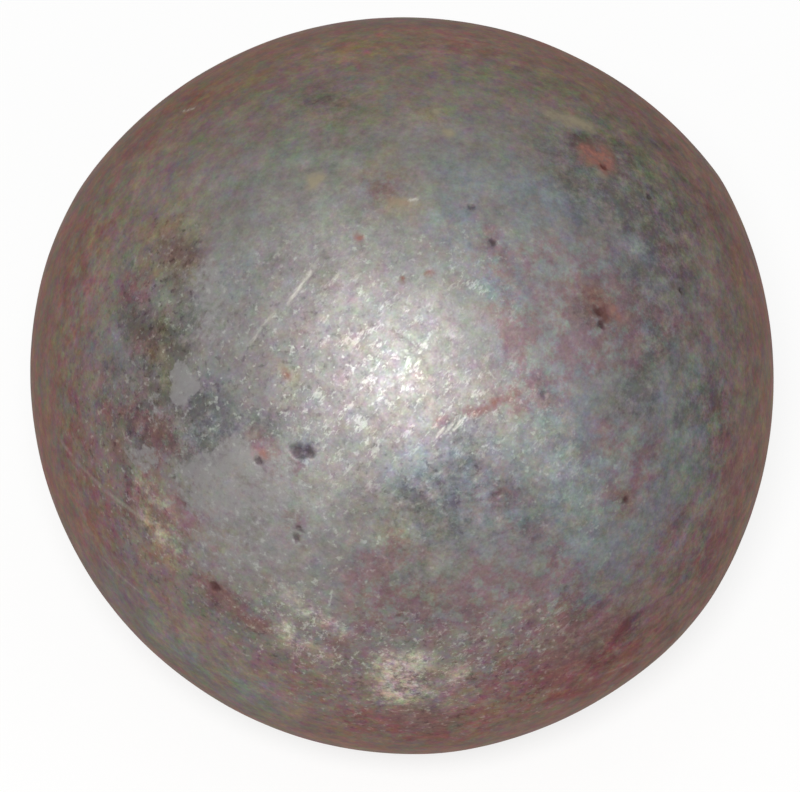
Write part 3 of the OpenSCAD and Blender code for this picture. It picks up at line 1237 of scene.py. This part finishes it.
class SteelSheet(Sheet):
    """The nodes of forged steel, as they are laid out."""

    # Names of each noise's parts, with its length in millimetres, its detail and how rough it is.
    NOISES = (
        (("red", "yellow", "blue"), 2.6, 4.0, 0.8),
        (("dark", "pale", "olive"), 3.0, 4.0, 0.85),
        (("tone", "film"), 3.8, 4.0, 0.95),
        (("speck", "pore", "grit"), 0.7, 2.0, 0.6),
        (("hue", "warmth"), 1.45, 3.0, 0.85),
    )
    # The same for the noise that is drawn out along the fine scratches.
    BRUSHED_NOISES = ((("brushed", "fleck"), 1.0, 3.0, 0.85),)
    # Heights between which nearly all of a noise lies.
    NOISE_SPAN = (0.3, 0.7)

    # How each layer's cover is broken up: its kind, its noise and the kind's levels.
    COVERS = {
        Layer.PALE: (CloudyCover, "pale", 6.5),
        Layer.DARK: (CloudyCover, "dark", 6.5),
        Layer.BLUE: (CloudyCover, "blue", 8.0),
        Layer.YELLOW: (CloudyCover, "yellow", 6.5),
        Layer.RED: (CloudyCover, "red", 12.0),
        Layer.OLIVE: (CloudyCover, "olive", 8.0),
        Layer.CRIMSON: (CloudyCover, "film", 5.0),
        Layer.WORN_AND_REFLECTION: (CloudyCover, "pale", 9.0),
        Layer.FILM_AND_RIM_REFLECTION: (CloudyCover, "film", 2.0),
        Layer.SCRATCH: (CloudyCover, "brushed", 5.0),
        Layer.PIT: (CloudyCover, "speck", 2.0),
        Layer.RUST: (CloudyCover, "dark", 5.0),
        Layer.OCHRE: (CloudyCover, "speck", 3.0),
        Layer.BEIGE: (CloudyCover, "speck", 2.0),
        Layer.ISLAND: (PatchyCover, "speck", 0.4),
        Layer.STROKE: (SparseCover, "fleck", 0.55, 0.64),
        Layer.GLINT: (SparseCover, "speck", 0.60, 0.72),
        Layer.PORE: (SparseCover, "pore", 0.57, 0.72),
    }

    def __init__(self, tree: bpy.types.NodeTree, steel: ForgedSteel) -> None:
        """Starts with the noises and the layers' masks.

        Args:
            tree: where the nodes go.
            steel: the finish.
        """
        super().__init__(tree)
        self.steel = steel
        self.grain = self._grain()
        self.masks = {layer: self._mask(layer, *cover) for layer, cover in self.COVERS.items()}

    def lay_out(self) -> None:
        """Adds the shader and what feeds it."""
        steel = self.steel
        plain_rough = self.ramp(self.grain["speck"], *self.NOISE_SPAN, *steel.scale_rough)
        shader = self.node("BsdfPrincipled", {
            "Base Color": self._colour(),
            "Metallic": self._stacked(steel.scale_metal, steel.metal),
            "Roughness": self._stacked(plain_rough, steel.rough),
            "Specular IOR Level": steel.specular,
            "Specular Tint": steel.edge_tint,
            "Normal": self._normal(),
        })
        self.node("OutputMaterial", {"Surface": shader.outputs["BSDF"]})

    def _grain(self) -> dict[str, Socket]:
        """The noises that break up the finish, over the piece's own coordinates in millimetres.

        Returns:
            The noises, by name.
        """
        place = self.node("TexCoord").outputs["Object"]
        scaled = self.node("VectorMath", {0: place, "Scale": 1.0 / MM}, operation="SCALE")
        where = scaled.outputs["Vector"]
        brushed = self.node("Mapping", {"Vector": where}, vector_type="TEXTURE")
        brushed.inputs["Rotation"].default_value = self.steel.scratch_turn()
        brushed.inputs["Scale"].default_value = (self.steel.graze_stretch, 1.0, 1.0)
        grain = {}
        for point, kinds in ((where, self.NOISES), (brushed.outputs["Vector"], self.BRUSHED_NOISES)):
            for names, *sizes in kinds:
                grain.update(zip(names, self.noise(point, *sizes)))
        return grain

    def _mask(self, layer: Layer, kind: type[CoverGroup], name: str, *levels: float) -> Socket:
        """Breaks up one layer's cover.

        Args:
            layer: the layer, whose cover is on the mesh.
            kind: how it is broken up.
            name: the noise's name.
            levels: the kind's levels.

        Returns:
            The layer's mask.
        """
        cover = self.node("Attribute", attribute_name=layer.value).outputs["Fac"]
        inputs = {"Cover": cover, "Noise": self.grain[name], **dict(zip(kind.LEVELS, levels))}
        return self.node("Group", inputs, kind.tree()).outputs["Mask"]

    def _colour(self) -> Socket:
        """Colour, layer over layer.

        Returns:
            The colour.
        """
        steel, masks = self.steel, self.masks
        film = self.mix(self.ramp(self.grain["film"], *steel.umber_edge), steel.film, steel.umber_film)
        colour = self.mix(masks[Layer.FILM_AND_RIM_REFLECTION], steel.scale, film)
        tints = (
            (Layer.PALE, steel.pale_tint), (Layer.DARK, steel.dark_tint), (Layer.BLUE, steel.blue_tint),
            (Layer.YELLOW, steel.yellow_tint), (Layer.RED, steel.red_tint),
            (Layer.OLIVE, steel.olive_tint), (Layer.CRIMSON, steel.crimson_tint),
            (Layer.WORN_AND_REFLECTION, steel.worn_and_reflection_tint),
        )
        for layer, tint in tints:
            colour = self.mix(masks[layer], colour, tint, "MULTIPLY")
        colour = self._mottled(colour)
        island = self.math("MULTIPLY", masks[Layer.ISLAND], steel.island_share)
        colour = self.mix(island, colour, steel.smooth)
        colour = self.mix(masks[Layer.BEIGE], colour, steel.beige)
        brick = self.ramp(self.grain["speck"], *steel.brick_edge)
        rust = self.mix(brick, steel.red_rust, steel.brick_rust)
        colour = self.mix(masks[Layer.RUST], colour, rust)
        colour = self.mix(masks[Layer.OCHRE], colour, steel.ochre_rust)
        open_share = self.math("MULTIPLY_ADD", island, -steel.shelter, third=1.0)
        share = self.math("MULTIPLY", masks[Layer.PORE], open_share)
        colour = self.mix(share, colour, steel.pore_tint, "MULTIPLY")
        # Strokes and specks are bare metal; their brightened colour is painted glint and painted
        # highlight.
        for layer in (Layer.STROKE, Layer.GLINT):
            lit = self.mix(1.0, colour, steel.painted_glint_tint, "MULTIPLY")
            lit = self.mix(steel.burnish_share, lit, steel.burnished_and_glint)
            share = self.math("MULTIPLY", masks[layer], open_share)
            colour = self.mix(share, colour, lit)
        colour = self.mix(masks[Layer.SCRATCH], colour, steel.bare)
        return self.mix(masks[Layer.PIT], colour, steel.pit_tint, "MULTIPLY")

    def _mottled(self, colour: Feed) -> Socket:
        """Colour with small changes of tone, and of hue, which changes most where there is rust film.

        Args:
            colour: the plain colour.

        Returns:
            The mottled colour.
        """
        steel, grain, film = self.steel, self.grain, self.masks[Layer.FILM_AND_RIM_REFLECTION]
        tone = self.ramp(grain["tone"], *self.NOISE_SPAN, *steel.tones)
        brushed = self.ramp(grain["brushed"], *self.NOISE_SPAN, *steel.brushed_tones)
        tone = self.math("MULTIPLY", tone, brushed)
        tone = self.blend(self.math("MULTIPLY", film, steel.film_calm), tone, 1.0)
        tint = self.node("CombineColor", {0: tone, 1: tone, 2: tone}).outputs[0]
        colour = self.mix(1.0, colour, tint, "MULTIPLY")
        strength = self.ramp(film, *steel.film_edge, *steel.hue_spread)
        for name, *tints in (
            ("hue", steel.mauve_tint, steel.olive_hint), ("warmth", steel.warm_tint, steel.cool_tint),
        ):
            tint = self.mix(self.ramp(grain[name], *self.NOISE_SPAN), *tints)
            colour = self.mix(strength, colour, tint, "MULTIPLY")
        return colour

    def _stacked(self, value: Feed, steps: Steps) -> Feed:
        """Lays numbers over one another, each where its layer is.

        Args:
            value: the lowest number.
            steps: each layer and its number, from the lowest up.

        Returns:
            What shows on top.
        """
        for layer, number in steps:
            value = self.blend(self.masks[layer], value, number)
        return value

    def _normal(self) -> Socket:
        """Fine relief, which smooth scale has little of.

        Returns:
            The normal.
        """
        grit = self.math("MULTIPLY", self.grain["grit"], self.steel.grit)
        height = self.math("ADD", grit, self.grain["brushed"])
        share = self.blend(self.masks[Layer.ISLAND], 1.0, self.steel.island_relief)
        height = self.math("MULTIPLY", height, share)
        bump = self.node("Bump", {"Height": height, "Strength": 1.0, "Distance": self.steel.relief})
        return bump.outputs["Normal"]


@dataclass(frozen=True)
class Studio:
    """Pale floor, soft surroundings, one soft lamp and the camera.

    Args:
        floor_radius: radius of the floor.
        floor_colour: its colour.
        floor_sides: how many sides its edge has.
        floor_fade: metres from the ball's middle where the floor starts to go to white, and where it
            is white.
        floor_glow: how white it looks where it starts.
        fill: brightness of the surroundings as a light.
        key_level: brightness that the key lamp gives a white surface that faces it.
        key_place: degrees right of and above the marked face's middle, where the key lamp stands.
        key_distance: its distance from the ball's middle.
        key_size: its diameter.
        distance: distance from the ball's middle to the camera.
        lens: the camera's lens, in millimetres.
        sensor: width of its sensor, in millimetres.
        aim: millimetres right of and above the ball's middle at which the camera looks.
    """

    floor_radius: float = 3.0
    floor_colour: Colour = (0.95, 0.95, 0.94)
    floor_sides: int = 96
    floor_fade: tuple[float, float] = (0.05, 0.18)
    floor_glow: float = 0.68
    fill: float = 0.3
    key_level: float = 1.0
    key_place: Place = (-1.5, 3.0)
    key_distance: float = 1.2
    key_size: float = 0.3
    distance: float = 0.45
    lens: float = 190.3
    sensor: float = 36.0
    aim: Place = (-0.40, -1.59)

    def build(self) -> None:
        """Adds the floor, the surroundings, the lamp and the camera."""
        self._floor()
        self._surroundings()
        self._key_lamp()
        self._camera()

    @staticmethod
    def _shown(sheet: Sheet) -> Socket:
        """Tells where the background is looked at, straight on, mirrored or through glass.

        Args:
            sheet: where the nodes go.

        Returns:
            1 there, and 0 where it only gives light.
        """
        path = sheet.node("LightPath")
        seen = sheet.math("ADD", path.outputs["Is Camera Ray"], path.outputs["Is Glossy Ray"])
        return sheet.math("ADD", seen, path.outputs["Is Transmission Ray"], clamp=True)

    def _floor(self) -> None:
        """Adds the floor, at the ball's lowest point."""
        form = bmesh.new()
        bmesh.ops.create_circle(form, cap_ends=True, radius=self.floor_radius, segments=self.floor_sides)
        bmesh.ops.translate(form, verts=form.verts, vec=(0.0, 0.0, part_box(CAD_NODE)[0][2]))
        mesh = bpy.data.meshes.new("studio_floor")
        form.to_mesh(mesh)
        form.free()
        floor = bpy.data.objects.new("studio_floor", mesh)
        bpy.context.scene.collection.objects.link(floor)
        mesh.materials.append(self._floor_material())

    def _floor_material(self) -> bpy.types.Material:
        """Pale floor that takes shadows near the ball and goes to white further out.

        Returns:
            The material.
        """
        material = bpy.data.materials.new("pale_floor")
        sheet = Sheet(blank_tree(material))
        place = sheet.node("TexCoord").outputs["Object"]
        away = sheet.node("VectorMath", {0: place}, operation="LENGTH").outputs["Value"]
        white_share = sheet.ramp(away, *self.floor_fade, self.floor_glow, 1.0)
        share = sheet.math("MULTIPLY", white_share, self._shown(sheet))
        matt = sheet.node("BsdfDiffuse", {"Color": self.floor_colour})
        white = sheet.node("Emission", {"Color": (1.0, 1.0, 1.0), "Strength": 1.0})
        both = sheet.node("MixShader", {0: share, 1: matt.outputs[0], 2: white.outputs[0]})
        sheet.node("OutputMaterial", {"Surface": both.outputs[0]})
        return material

    def _surroundings(self) -> None:
        """Makes the surroundings white to look at and a soft fill as a light."""
        world = bpy.data.worlds.new("surroundings")
        sheet = Sheet(blank_tree(world))
        strength = sheet.blend(self._shown(sheet), self.fill, 1.0)
        background = sheet.node("Background", {"Color": (1.0, 1.0, 1.0), "Strength": strength})
        sheet.node("OutputWorld", {"Surface": background.outputs[0]})
        bpy.context.scene.world = world

    def _key_lamp(self) -> None:
        """Adds the soft key lamp."""
        lamp = bpy.data.lights.new("key_lamp", "AREA")
        lamp.shape = "DISK"
        lamp.size = self.key_size
        lamp.energy = self.key_level * (math.pi * self.key_distance) ** 2
        stand = bpy.data.objects.new("key_lamp", lamp)
        direction = Vector(way(self.key_place))
        stand.location = direction * self.key_distance
        stand.rotation_euler = direction.to_track_quat("Z", "Y").to_euler()
        bpy.context.scene.collection.objects.link(stand)

    def _camera(self) -> None:
        """Adds the camera, square to the marked face."""
        camera = bpy.data.cameras.new("camera")
        camera.lens = self.lens
        camera.sensor_width = self.sensor
        stand = bpy.data.objects.new("camera", camera)
        right, up = face_axes()
        aim = (right * self.aim[0] + up * self.aim[1]) * MM
        stand.location = aim + Vector(way((0, 0))) * self.distance
        stand.rotation_euler = (math.pi / 2.0 - FACE_RISE, 0.0, 0.0)
        bpy.context.scene.collection.objects.link(stand)
        bpy.context.scene.camera = stand


def main() -> None:
    """Builds the ball, its finish and the studio."""
    logging.basicConfig(level=logging.INFO, format="%(name)s: %(message)s")
    Studio().build()
    LOG.info("studio: floor, surroundings, key lamp and camera")
    piece = BallSkin().build()
    LOG.info("%s: %d triangles", piece.name, len(piece.data.polygons))
    bpy.context.scene.view_settings.view_transform = "Standard"


if __name__ == "__main__":
    main()
